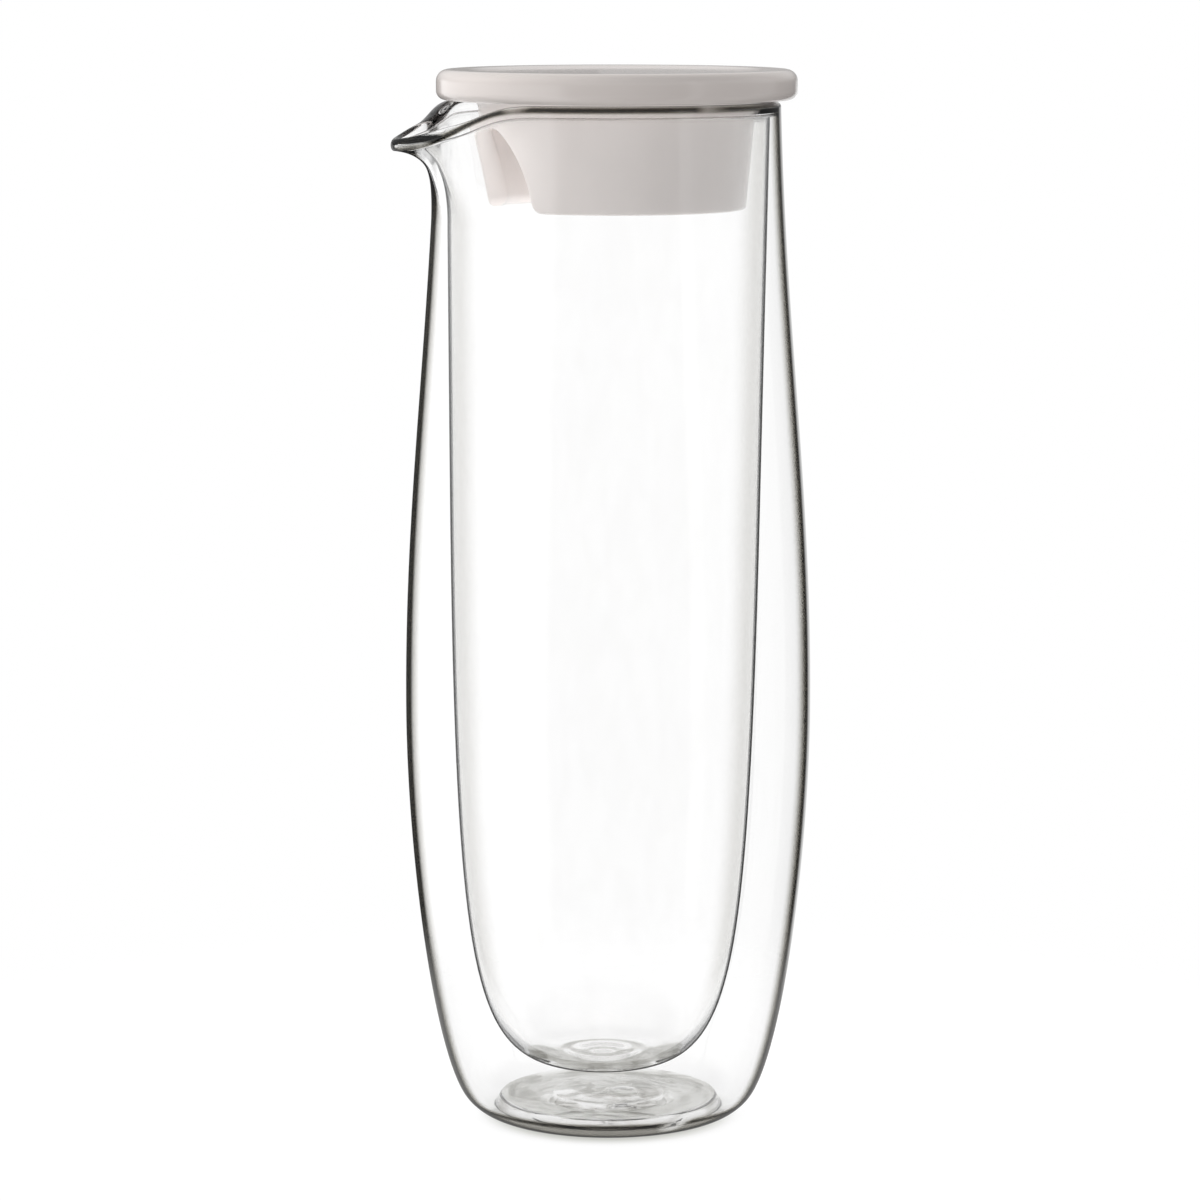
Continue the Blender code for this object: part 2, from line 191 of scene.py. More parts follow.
class CarafeWallSizes(bpy.types.PropertyGroup):
    """Sizes of the two glass walls, the rim bead and the pouring lip."""

    rim_height: length("Rim height", "Top of the rim bead", VESSEL_TOP)
    neck_radius: length("Neck radius", "Outside of the jacket at the rim", 0.04525)
    neck_flare: share("Neck flare", "Slope of the jacket below the rim", 0.027)
    neck_fullness: share("Neck fullness", "Share of the upper height that the neck's curve keeps", 0.39)
    belly_radius: length("Belly radius", "Widest radius of the jacket", 0.0539)
    belly_height: length("Belly height", "Height of the widest place", 0.1125)
    upper_fullness: share("Upper fullness", "Fullness of the belly's curve upwards", 0.36)
    lower_fullness: share("Lower fullness", "Fullness of the belly's curve downwards", 0.40)
    heel_radius: length("Heel radius", "Radius where the wall turns in to the foot", 0.0383)
    heel_height: length("Heel height", "Height where the wall turns in to the foot", 0.0054)
    heel_angle: angle("Heel angle", "Lean of the wall at the heel", 39.5)
    heel_fullness: share("Heel fullness", "Fullness of the curve above the heel", 0.12)
    turn_fullness: share("Turn fullness", "Fullness of the curve under the heel", 0.40)
    foot_radius: length("Foot radius", "Edge of the flat that the carafe stands on", 0.024)
    jacket_wall: length("Jacket wall", "Thickness of the outer wall", 0.0014)
    neck_space: length("Neck space", "Gap between the walls at the neck", 0.0014)
    liner_wall: length("Liner wall", "Thickness of the inner wall", 0.0013)
    liner_taper: length("Liner taper", "How much the liner narrows over its straight part", 0.0013)
    liner_taper_length: length("Liner taper length", "Length of the liner's straight part", 0.103)
    liner_side_fullness: share("Liner side fullness", "Fullness of the liner's side", 0.97)
    liner_floor_fullness: share("Liner floor fullness", "Fullness of the liner's floor", 0.81)
    liner_floor_height: length("Liner floor height", "Underside of the liner's floor", 0.0135)
    liner_floor: length("Liner floor", "Thickness of the liner's floor", 0.0022)
    ripple_height: length("Ripple height", "Height of the rings in the liner's floor", 0.00030)
    ripple_step: length("Ripple step", "Distance between the rings in the liner's floor", 0.0085)
    ripple_reach: length("Ripple reach", "Radius over which the rings fade", 0.018)
    liner_lean: length("Liner lean", "How far the liner hangs off the axis at its floor", 0.0014)
    lean_heading: angle("Lean heading", "Direction in which the liner hangs off the axis", 158.0)
    bead_height: length("Bead height", "Height of the rim bead", 0.0030)
    bead_bulge: length("Bead bulge", "How far the rim bead swells inwards", 0.0008)
    bead_swell: length("Bead swell", "Height over which the rim bead swells", 0.0017)
    # Painted shade: a dark band in the rim bead, and one at the heel with grey below it
    band_depth: length("Band depth", "Depth of the bead's dark band below the rim", 0.0010)
    band_height: length("Band height", "Half of the height of the bead's dark band", 0.00085)
    heel_band: length("Heel band", "Height of the heel's dark band", 0.0053)
    heel_band_height: length("Heel band height", "Half of the height of the heel's dark band", 0.0011)
    heel_painted_grey: share("Heel grey", "How dark the heel is below its band", 0.7)
    lip_reach: length("Lip reach", "How far the lip is drawn out", 0.0134)
    lip_half_width: length("Lip half width", "Half of the width that is drawn out", 0.0118)
    lip_bluntness: share("Lip bluntness", "Power of the lip's outline seen from above", 1.47)
    lip_length: length("Lip length", "Length of the neck that bends outwards", 0.0294)
    lip_power: share("Lip power", "How sharply the neck bends outwards", 1.76)
    lip_drop: length("Lip drop", "How far the lip is drawn down", 0.0092)
    lip_drop_half_width: length("Lip drop half width", "Half of the width that is drawn down", 0.0169)
    lip_drop_bluntness: share("Lip drop bluntness", "Power of the rim's dip seen from the side", 2.41)
    lip_drop_length: length("Lip drop length", "Length of the neck that bends down", 0.0144)
    lip_drop_power: share("Lip drop power", "How sharply the neck bends down", 1.41)
    lip_thinning: share("Lip thinning", "Share of the wall that is drawn out of the lip", 0.36)
    columns: IntProperty(name="Columns", description="Steps of the glass round the axis", default=196)
    gather: share("Gather", "How much the steps crowd at the lip", 0.45)


class CarafeBaseSizes(bpy.types.PropertyGroup):
    """Sizes of the glass disc that closes the foot."""

    radius: length("Disc radius", "Radius of the disc", DISC_TOP.x)
    thickness: length("Disc thickness", "Thickness of the disc beside its pad", 0.0054)
    edge_width: length("Edge width", "Width of the slope between the disc and the weld", 0.0022)
    pad_radius: length("Pad radius", "Radius of the fine ring round the raised pad", 0.0150)
    pad_top: length("Pad top", "Height of the raised pad's top", DISC_TOP.z)
    dome_inside: length("Dome inside", "Radius at which the top starts to fall", 0.008)
    dome_outside: length("Dome outside", "Radius at which the top is level again", 0.021)
    groove_depth: length("Groove depth", "Depth of the ring round the pad", 0.0001)
    groove_width: length("Groove width", "Width of the ring round the pad", 0.0006)
    drop_offset: length("Drop offset", "Place of the vent's drop along X", 0.0038)
    drop_radius: length("Drop radius", "Radius of the dimple that the drop leaves in the underside", 0.0030)
    drop_height: length("Drop height", "How far that dimple goes into the underside", 0.0011)


class CarafeLidSizes(bpy.types.PropertyGroup):
    """Sizes of the porcelain lid."""

    radius: length("Lid radius", "Radius of the plate", LID_RADIUS)
    thickness: length("Plate thickness", "Thickness of the plate at its border", 0.0079)
    top_rounding: length("Top rounding", "Rounding of the plate's upper edge", 0.0030)
    edge_rounding: length("Edge rounding", "Rounding of the plate's lower edge", 0.0024)
    dish_border: length("Dish border", "Width of the border round the dished top", 0.0074)
    dish_slope: length("Dish slope", "Width of the slope into the dish", 0.0045)
    dish_depth: length("Dish depth", "Depth of the dish", 0.0006)
    skirt_radius: length("Skirt radius", "Radius of the skirt under the plate", 0.03665)
    skirt_taper: length("Skirt taper", "How much the skirt narrows downwards", 0.0026)
    skirt_wall: length("Skirt wall", "Thickness of the skirt", 0.0043)
    skirt_fillet: length("Skirt fillet", "Fillet between the plate and the skirt", 0.0016)
    hem_rounding: length("Hem rounding", "Rounding of the skirt's lower edge outside", 0.0010)
    hem_inside: length("Hem inside", "Rounding of the skirt's lower edge inside", 0.0030)
    roof_thickness: length("Roof thickness", "Thickness of the plate above the hollow", 0.0068)
    roof_fillet: length("Roof fillet", "Fillet round the hollow's roof", 0.0030)
    arch_half_width: length("Arch half width", "Half of the arch's width", 0.0160)
    arch_height: length("Arch height", "Height of the arch", 0.0226)
    arch_corner: length("Arch corner", "Rounding where the arch meets the hem", 0.0028)


class CarafeFinishes(bpy.types.PropertyGroup):
    """Colours of the pieces, and the painted shade that darkens the glass towards its edges."""

    # The glass's painted shade and its streaks fade in each colour at these rates
    shade_and_streak_tint: triple("Glass fade", "How fast red, green and blue fade in dark glass", (1.0, 1.03, 1.11))
    # Painted shade: the dark edges of the jacket and the liner, and the grey inside the liner's edge
    jacket_edge_shade: triple(
        "Jacket edge",
        "Facing at which the jacket's edge starts to darken and is darkest, and by how much",
        (0.62, 0.80, 0.97),
    )
    liner_edge_shade: triple(
        "Liner edge",
        "Facing at which the liner's edge starts to darken and is darkest, and by how much",
        (0.775, 0.86, 0.97),
    )
    liner_painted_haze: triple(
        "Liner haze",
        "Facing at which the grey inside the liner's edge starts and is full, and its strength",
        (0.38, 0.66, 0.28),
    )
    # Painted shade of the dark bands, with painted glints
    painted_band_darkness: share("Bead band", "How dark the bands in the rim and the heel are", 0.97)
    painted_glint_scale: share("Glint scale", "Fineness of the glints in the rim bead", 48.0)
    glass_ior: share("Glass index", "Index of refraction of the glass", 1.47)
    porcelain: colour("Porcelain", "Colour of the glazed plate", (0.70, 0.645, 0.618))
    # Painted light: the skirt is a lighter copy of the plate's porcelain, to make up for light that the
    # glass and the plate keep from it
    skirt: colour("Skirt", "Colour of the thinner glaze on the skirt", (0.94, 0.872, 0.84))
    cloud: share("Cloud", "Strength of the faint cloud in the glaze", 0.01)


class CarafeStageSettings(bpy.types.PropertyGroup):
    """Camera, floor and surround."""

    camera_heading: angle("Camera heading", "Direction in which the camera looks, from +Y", -22.0)
    camera_distance: length("Camera distance", "Distance from the carafe's axis", 1.220)
    camera_height: length("Camera height", "Height above the floor", 0.314)
    camera_side_step: length("Camera side step", "Step of the camera to its left", 0.00219)
    camera_pitch: angle("Camera pitch", "How far the camera looks down", 8.1346)
    camera_lens: share("Camera lens", "Focal length in millimetres", 138.945)
    floor_radius: length("Floor radius", "Radius of the pale floor", 0.26)
    floor_drop: length("Floor drop", "Gap between the floor and the foot", 0.0002)
    floor_glow: share("Floor glow", "How white the floor is by itself", 0.84)
    lower_fill: share("Lower fill", "Level of the light from the sides and the table", 0.06)
    upper_fill: share("Upper fill", "Level of the light from above", 0.85)
    mirror_low: share("Mirror low", "Level that gloss mirrors below the horizon", 0.05)
    mirror_high: share("Mirror high", "Level that gloss mirrors from above", 0.7)


def run_shares(stretches):
    """Shares of a run from 0 to 1, in stretches that each have an end and a number of points."""
    starts = [0.0, *(end for end, count in stretches)]
    runs = [np.linspace(start, end, count) for start, (end, count) in zip(starts, stretches)]
    return np.concatenate([runs[0], *(run[1:] for run in runs[1:])])


def cubic(start, start_handle, end_handle, end, stretches):
    """Points of a cubic curve in these stretches, as (radius, height)."""
    t = run_shares(stretches)[:, None]
    corners = [np.array(point) for point in (start, start_handle, end_handle, end)]
    weights = ((1 - t) ** 3, 3 * (1 - t) ** 2 * t, 3 * (1 - t) * t**2, t**3)
    return sum(weight * corner for weight, corner in zip(weights, corners))


def arc(centre, radius, start_degrees, end_degrees, count):
    """Points of a circle's arc, as (radius, height)."""
    angles = np.radians(np.linspace(start_degrees, end_degrees, count))
    return np.array(centre) + radius * np.column_stack([np.cos(angles), np.sin(angles)])


def flat_line(start, end, height, count):
    """Points from one radius to another at one height, as (radius, height)."""
    return np.column_stack([np.linspace(start, end, count), np.full(count, height)])


def smooth_step(value, low, high):
    """0 below low, 1 above high, and a smooth rise between."""
    t = np.clip((value - low) / (high - low), 0.0, 1.0)
    return t * t * (3 - 2 * t)


def bell(value, power=2):
    """1 at zero, falling to 0 on both sides. A higher power gives a flatter top."""
    return np.exp(-(value**power))


def inside_offset(line, distance):
    """A line at this distance on the axis side of a line that runs down an outer face."""
    run = np.gradient(line, axis=0)
    run /= np.linalg.norm(run, axis=1)[:, None]
    return line + distance * np.column_stack([run[:, 1], -run[:, 0]])


def below(line, height):
    """The part of a downward line below this height, starting at it."""
    start = [[np.interp(-height, -line[:, 1], line[:, 0]), height]]
    return np.vstack([start, line[line[:, 1] < height - SAME_PLACE]])


def outside_of(line, radius, height_limit):
    """A downward line, cut off where it comes in to a radius below the height limit."""
    lower = line[line[:, 1] < height_limit][::-1]
    end_height = np.interp(radius, lower[:, 0], lower[:, 1])
    return np.vstack([line[line[:, 1] > end_height + SAME_PLACE], [[radius, end_height]]])


def jacket_outline(size):
    """Outer face of the glass, from the rim down to the edge of the flat underside."""
    upper = size.rim_height - size.belly_height
    lower = size.belly_height - size.heel_height
    turn = size.heel_radius - size.foot_radius
    run = np.array([-math.sin(size.heel_angle), -math.cos(size.heel_angle)])
    heel = np.array([size.heel_radius, size.heel_height])
    neck_drop = size.neck_fullness * upper
    to_belly = cubic(
        (size.neck_radius, size.rim_height),
        (size.neck_radius + size.neck_flare * neck_drop, size.rim_height - neck_drop),
        (size.belly_radius, size.belly_height + size.upper_fullness * upper),
        (size.belly_radius, size.belly_height),
        NECK_STRETCHES,
    )
    to_heel = cubic(
        (size.belly_radius, size.belly_height),
        (size.belly_radius, size.belly_height - size.lower_fullness * lower),
        heel - size.heel_fullness * lower * run,
        heel,
        HEEL_STRETCHES,
    )
    to_foot = cubic(
        heel,
        heel + size.turn_fullness * turn * run,
        (size.foot_radius + size.turn_fullness * turn, 0),
        (size.foot_radius, 0),
        FOOT_STRETCHES,
    )
    return np.vstack([to_belly, to_heel[1:], to_foot[1:]])


def liner_face(size, neck_radius, floor_height):
    """One face of the liner, from the rim down to the middle of its floor."""
    taper_end = np.array([neck_radius - size.liner_taper, size.rim_height - size.liner_taper_length])
    slope = size.liner_taper / size.liner_taper_length
    drop = size.liner_side_fullness * (taper_end[1] - floor_height)
    start = np.array([neck_radius, size.rim_height])
    taper = start + run_shares(TAPER_STRETCHES)[:, None] * (taper_end - start)
    bowl = cubic(
        taper_end,
        (taper_end[0] - slope * drop, taper_end[1] - drop),
        (size.liner_floor_fullness * taper_end[0], floor_height),
        (0, floor_height),
        BOWL_STRETCHES,
    )
    return np.vstack([taper, bowl[1:]])


def foot_cut(size, foot_opening):
    """Outer and inner face of the jacket from the rim down to the weld with the base."""
    outline = jacket_outline(size)
    inner = inside_offset(outline, size.jacket_wall)
    return [outside_of(line, foot_opening, size.belly_height) for line in (outline, inner)]


def heel_shade(size, height):
    """Painted shade of the heel at these heights: a dark band, and grey below it."""
    depth = (size.heel_band - height) / size.heel_band_height
    return np.maximum(bell(depth, 4), size.heel_painted_grey * smooth_step(depth, 0.0, 1.0))


def lip_turns(size):
    """Turns round the axis from the back, which crowd at the lip."""
    even = np.linspace(-math.pi, math.pi, size.columns, endpoint=False)
    return even - size.gather * np.sin(even)


def wall_profile(size, foot_opening):
    """Closed section of the fused walls, from the middle of the liner's floor up and over the rim.

    It runs down the outside to the foot, up the sealed space and down to the middle again. The second
    value names the face that each point lies on.
    """
    jacket_outside, jacket_inside = foot_cut(size, foot_opening)
    jacket_top = size.rim_height - size.bead_height
    half_bead = size.bead_height / 2
    bead_middle = size.rim_height - half_bead
    liner_radius = size.neck_radius - size.jacket_wall - size.neck_space
    inner = liner_face(size, liner_radius - size.liner_wall, size.liner_floor_height + size.liner_floor)
    outer = liner_face(size, liner_radius, size.liner_floor_height)
    drink_side = below(inner, bead_middle)[::-1]
    ripple = np.cos(math.tau * drink_side[:, 0] / size.ripple_step)
    on_floor = drink_side[:, 1] < size.belly_height / 2
    fading = bell(drink_side[:, 0] / size.ripple_reach, 4) * on_floor
    drink_side[:, 1] += size.ripple_height * ripple * fading
    drink_side[:, 0] -= size.bead_bulge * bell((bead_middle - drink_side[:, 1]) / size.bead_swell)
    jacket_outside = below(jacket_outside, bead_middle)
    middle = (jacket_outside[0][0] + drink_side[-1][0]) / 2
    half = (jacket_outside[0][0] - drink_side[-1][0]) / 2
    turn = np.linspace(math.pi, 0, CROWN_POINTS)[1:-1]
    crown = np.column_stack([middle + half * np.cos(turn), bead_middle + half_bead * np.sin(turn)])
    space_top = jacket_top - size.neck_space / 2
    jacket_inside = below(jacket_inside, space_top)
    liner_outside = below(outer, space_top)
    space_middle = (jacket_inside[0][0] + liner_outside[0][0]) / 2
    space_half = (jacket_inside[0][0] - liner_outside[0][0]) / 2
    vault = arc((space_middle, space_top), space_half, 0, 180, count=12)[1:-1]
    runs = [drink_side, crown, jacket_outside, jacket_inside[::-1], vault, liner_outside]
    names = [DRINK_FACE, JACKET_FACE, JACKET_FACE, SPACE_FACE, SPACE_FACE, LINER_FACE]
    faces = [np.full(len(run), name) for run, name in zip(runs, names)]
    return np.vstack(runs), np.concatenate(faces)


def pull_lip(size, profile, turns):
    """Places of a turned profile whose neck is drawn out and down along -X, as (row, column, 3)."""
    radius, height = profile[:, :1], profile[:, 1:2]
    weld = size.rim_height - size.bead_height
    away = np.abs(turns * size.neck_radius)[None, :]
    drawn = bell(away / size.lip_half_width, size.lip_bluntness)
    fall = size.lip_drop * bell(away / size.lip_drop_half_width, size.lip_drop_bluntness)
    depth = np.maximum(0.0, weld - height)
    out_share = np.maximum(0.0, 1 - depth / size.lip_length)
    drop_share = np.maximum(0.0, 1 - depth / size.lip_drop_length)
    thinned = 1 - size.lip_thinning * drawn * out_share**2
    inset = (size.neck_radius - radius) * thinned
    above_weld = np.maximum(0.0, height - weld) * thinned
    out = size.lip_reach * drawn * out_share**size.lip_power
    drop = fall * drop_share**size.lip_drop_power
    out_rate = size.lip_power / size.lip_length * size.lip_reach * drawn * out_share ** (size.lip_power - 1)
    drop_rate = size.lip_drop_power / size.lip_drop_length * fall * drop_share ** (size.lip_drop_power - 1)
    tilt = np.arctan2(out_rate, 1 - drop_rate)
    reach = size.neck_radius + out + above_weld * np.sin(tilt) - inset * np.cos(tilt)
    level = weld - depth - drop + above_weld * np.cos(tilt) + inset * np.sin(tilt)
    return np.stack([-reach * np.cos(turns), reach * np.sin(turns), level], axis=-1)


def ring_mesh(name, rings):
    """Mesh of rings of points, whose first and last ring are one point each."""
    rows, columns = len(rings) - 2, rings.shape[1]
    points = np.vstack([rings[1:-1].reshape(-1, 3), rings[0].mean(0), rings[-1].mean(0)])
    first_pole = rows * columns
    last_pole = first_pole + 1
    last_row = (rows - 1) * columns
    faces = []
    for here in range(0, last_row, columns):
        there = here + columns
        for column in range(columns):
            after = (column + 1) % columns
            faces.append((here + column, here + after, there + after, there + column))
    for column in range(columns):
        after = (column + 1) % columns
        faces.append((first_pole, after, column))
        faces.append((last_pole, last_row + column, last_row + after))
    mesh = bpy.data.meshes.new(name)
    mesh.from_pydata(points.tolist(), [], faces)
    mesh.shade_smooth()
    return mesh


def mark_rings(mesh, name, marked, columns):
    """Give the points of each ring that ring's mark, as an attribute of this name."""
    inner = np.repeat(marked[1:-1].astype(float), columns)
    values = np.concatenate([inner, [float(marked[0]), float(marked[-1])]])
    mesh.attributes.new(name, "FLOAT", "POINT").data.foreach_set("value", values)


def clear_weld(mesh, row, columns):
    """Let light pass straight through the faces between this ring and the next, where glass is fused."""
    material, bench = new_material("fused_weld")
    weld = bench.add("ShaderNodeBsdfTransparent")
    bench.add("ShaderNodeOutputMaterial", Surface=weld.outputs[0])
    mesh.materials.append(material)
    first = (row - 1) * columns
    for face in mesh.polygons[first:first + columns]:
        face.material_index = len(mesh.materials) - 1
    mesh.set_sharp_from_angle(angle=SHARP_ANGLE)


def new_piece(name, mesh, material):
    """An object in the scene whose mesh gets this material."""
    piece = bpy.data.objects.new(name, mesh)
    mesh.materials.append(material)
    bpy.context.scene.collection.objects.link(piece)
    return piece


def shadow_casters():
    """Collection of the opaque pieces, which cast shadows."""
    name = "shadow_casters"
    return bpy.data.collections.get(name) or bpy.data.collections.new(name)


class NodeBench:
    """Short calls for building a node tree."""

    def __init__(self, tree):
        self.tree = tree
        tree.nodes.clear()

    def add(self, kind, settings=None, **inputs):
        """A new node. Inputs are named with _ for a blank and hold a value or another node's socket."""
        node = self.tree.nodes.new(kind)
        for key, value in (settings or {}).items():
            setattr(node, key, value)
        for key, value in inputs.items():
            self.feed(node, key.replace("_", " "), value)
        return node

    def feed(self, node, key, value):
        """Set an input, by its name or its place, to a value or link a socket to it."""
        socket = node.inputs[key]
        if isinstance(value, bpy.types.NodeSocket):
            self.tree.links.new(value, socket)
        else:
            socket.default_value = value

    def feed_all(self, node, values, first=0):
        """Feed values or sockets to a node's inputs in turn, from this place on."""
        for place, value in enumerate(values, start=first):
            self.feed(node, place, value)

    def math(self, operation, *values):
        """Output of a Math node on these values or sockets."""
        node = self.add("ShaderNodeMath", {"operation": operation})
        self.feed_all(node, values)
        return node.outputs[0]

    def vector(self, operation, *values):
        """Output of a Vector Math node on these values or sockets."""
        node = self.add("ShaderNodeVectorMath", {"operation": operation})
        self.feed_all(node, values)
        return node.outputs["Value" if operation == "LENGTH" else "Vector"]

    def ramp(self, value, low, high, low_result, high_result):
        """Output of a smooth Map Range node."""
        node = self.add("ShaderNodeMapRange", {"interpolation_type": "SMOOTHSTEP"}, Value=value)
        self.feed_all(node, (low, high, low_result, high_result), first=1)
        return node.outputs[0]

    def noise(self, place, scale, detail, distortion=0.0):
        """Output of a Noise Texture node at this place."""
        inputs = {"Vector": place, "Scale": scale, "Detail": detail, "Distortion": distortion}
        return self.add("ShaderNodeTexNoise", **inputs).outputs[0]

    def bump(self, height, depth):
        """Normal of a surface with a relief of this depth."""
        return self.add("ShaderNodeBump", Height=height, Strength=1.0, Distance=depth).outputs[0]

    def mark(self, name):
        """Value of an attribute of the mesh."""
        return self.add("ShaderNodeAttribute", {"attribute_name": name}).outputs["Fac"]

    def mix_colour(self, blend, part, first, second):
        """Output of a Mix node that blends this part of the second colour into the first."""
        node = self.add("ShaderNodeMix", {"data_type": "RGBA", "blend_type": blend})
        self.feed(node, 0, part)
        self.feed_all(node, (first, second), first=6)
        return node.outputs[2]

    def mix_shader(self, part, first, second):
        """Output of a Mix Shader node that has this part of the second shader."""
        node = self.add("ShaderNodeMixShader", Fac=part)
        self.feed_all(node, (first, second), first=1)
        return node.outputs[0]


def new_material(name):
    """A new material and the bench on which its nodes are made."""
    material = bpy.data.materials.new(name)
    material.use_nodes = True
    return material, NodeBench(material.node_tree)


def wall_facing(bench):
    """1 where glass is seen edge on and 0 where it is seen square on.

    On an upright wall it follows the turn round the axis alone, so that the wall keeps thin edges when it
    is seen from high up.
    """
    normal = bench.add("ShaderNodeNewGeometry").outputs["Normal"]
    sideways = bench.vector("NORMALIZE", bench.vector("CROSS_PRODUCT", UP, normal))
    facing = bench.add("ShaderNodeLayerWeight", Blend=0.5).outputs["Facing"]
    across = bench.add("ShaderNodeLayerWeight", Blend=0.5, Normal=sideways).outputs["Facing"]
    square = bench.math("SUBTRACT", 1.0, facing)
    along = bench.math("SUBTRACT", 1.0, across)
    level = bench.math("MULTIPLY_ADD", square, square, bench.math("MULTIPLY", along, along))
    rise = bench.add("ShaderNodeSeparateXYZ", Vector=normal).outputs["Z"]
    upright = bench.math("SUBTRACT", 1.0, bench.math("MULTIPLY", rise, rise))
    shortfall = bench.math("SUBTRACT", bench.math("SQRT", level), 1.0)
    spread = bench.math("MULTIPLY_ADD", upright, shortfall, 1.0)
    return bench.math("SUBTRACT", 1.0, bench.math("DIVIDE", square, spread))


def edge_on(bench, facing, face, start, end):
    """How far glass is seen edge on, from 0 to 1, for the faces that hold this attribute."""
    return bench.math("MULTIPLY", bench.ramp(facing, start, end, 0.0, 1.0), bench.mark(face))


def drawn_down(bench, place):
    """Places for waves that run long down the wall, as in blown glass."""
    return bench.add("ShaderNodeMapping", Vector=place, Scale=DRAWN_DOWN).outputs[0]


def drawn_round(bench, place):
    """Places for waves that run in arcs round the axis, as in glass that is pressed and turned."""
    flat = bench.vector("MULTIPLY", place, LEVEL)
    arc_place = bench.vector("MULTIPLY", bench.vector("NORMALIZE", flat), (ARC_RADIUS, ARC_RADIUS, 0.0))
    raised = bench.add("ShaderNodeCombineXYZ", Z=bench.vector("LENGTH", flat))
    return bench.vector("ADD", arc_place, raised.outputs[0])


def band_shade(bench, finish, place):
    """Share of light that the painted dark bands in the rim and the heel leave, with their painted glints.

    They are painted on the glass that is met from outside.
    """
    glints = bench.noise(place, scale=finish.painted_glint_scale, detail=1.0)
    band = bench.ramp(glints, *PAINTED_GLINT_LEVELS, finish.painted_band_darkness, PAINTED_GLINT_SHADE)
    from_inside = bench.add("ShaderNodeNewGeometry").outputs["Backfacing"]
    near = bench.math("MULTIPLY", bench.mark(SHADE_BAND_FACE), bench.math("SUBTRACT", 1.0, from_inside))
    return bench.math("SUBTRACT", 1.0, bench.math("MULTIPLY", near, band))


def glass_material(name, finish, drawn, wave_scale, wave_height, roughness, streaks):
    """Clear glass, darkened by painted shade where it is seen edge on, that waves a little as worked glass
    does.
    """
    material, bench = new_material(name)
    place = bench.add("ShaderNodeTexCoord").outputs["Object"]
    along = drawn(bench, place)
    waves = bench.noise(along, scale=wave_scale, detail=1.5, distortion=0.6)
    facing = wall_facing(bench)
    # Painted shade, darker where the glass is seen edge on
    edges = {JACKET_FACE: finish.jacket_edge_shade, LINER_FACE: finish.liner_edge_shade, LINER_SIDE: finish.liner_painted_haze}
    shade = 1.0
    for face, (start, end, depth) in edges.items():
        loss = edge_on(bench, facing, face, start, end)
        shade = bench.math("MULTIPLY", shade, bench.math("MULTIPLY_ADD", loss, -depth, 1.0))
    # The liner mirrors nothing where it is seen edge on, so that its edge is a thin dark line
    line = edge_on(bench, facing, LINER_FACE, *finish.liner_edge_shade[:2])
    index = bench.math("MULTIPLY_ADD", line, 1.0 - finish.glass_ior, finish.glass_ior)
    shade = bench.math("MULTIPLY", shade, band_shade(bench, finish, place))
    cords = bench.noise(along, scale=130.0, detail=1.5, distortion=1.2)
    shade = bench.math("MULTIPLY", shade, bench.ramp(cords, *STREAK_LEVELS, 1.0 - streaks, 1.0))
    # Light that a matt surface gathers through the glass is not dimmed
    bounces = bench.add("ShaderNodeLightPath").outputs["Diffuse Depth"]
    shade = bench.math("MAXIMUM", shade, bench.math("GREATER_THAN", bounces, 0.5))
    # The shader passes the root of its colour at each face, so the shade is squared
    tint = bench.add("ShaderNodeCombineColor")
    for channel, rate in enumerate(finish.shade_and_streak_tint):
        bench.feed(tint, channel, bench.math("POWER", shade, 2.0 * rate))
    shader = bench.add(
        "ShaderNodeBsdfPrincipled",
        Base_Color=tint.outputs[0],
        Roughness=roughness,
        IOR=finish.glass_ior,
        Transmission_Weight=1.0,
        Normal=bench.bump(waves, wave_height),
    )
    bench.feed(shader, "IOR", index)
    bench.add("ShaderNodeOutputMaterial", Surface=shader.outputs[0])
    return material


def porcelain_material(name, finish, plate_height):
    """Glazed porcelain, whiter on the skirt as painted light, with a faint cloud and the soft ripple of
    poured glaze.
    """
    material, bench = new_material(name)
    place = bench.add("ShaderNodeTexCoord").outputs["Object"]
    height = bench.add("ShaderNodeSeparateXYZ", Vector=place).outputs["Z"]
    # Painted light: the skirt takes the lighter copy of the porcelain colour
    on_plate = bench.ramp(height, plate_height - PLATE_SKIRT_BLEND, plate_height + PLATE_SKIRT_BLEND, 0.0, 1.0)
    glaze = bench.mix_colour("MIX", on_plate, (*finish.skirt, 1.0), (*finish.porcelain, 1.0))
    cloud = bench.noise(place, scale=30.0, detail=2.0)
    clouding = bench.ramp(cloud, *NOISE_LEVELS, 1.0 - finish.cloud, 1.0)
    ripple = bench.noise(place, scale=140.0, detail=2.0)
    pores = bench.noise(place, scale=900.0, detail=1.0)
    relief = bench.math("MULTIPLY_ADD", pores, PORE_SHARE, ripple)
    shader = bench.add(
        "ShaderNodeBsdfPrincipled",
        Base_Color=bench.mix_colour("MULTIPLY", 1.0, glaze, clouding),
        Roughness=bench.ramp(pores, *NOISE_LEVELS, *GLAZE_ROUGHNESS),
        IOR=1.5,
        Normal=bench.bump(relief, GLAZE_RELIEF),
    )
    bench.add("ShaderNodeOutputMaterial", Surface=shader.outputs[0])
    return material


def lean_liner(size, rings, profile, face):
    """Hang the liner off the axis, more and more from the rim down to its floor."""
    on_liner = (face == LINER_FACE) | (face == DRINK_FACE)
    depth = (size.rim_height - profile[:, 1]) / (size.rim_height - size.liner_floor_height)
    lean = on_liner * size.liner_lean * np.sin(math.pi / 2 * np.clip(depth, 0, 1))
    rings[:, :, 0] += lean[:, None] * math.cos(size.lean_heading)
    rings[:, :, 1] += lean[:, None] * math.sin(size.lean_heading)


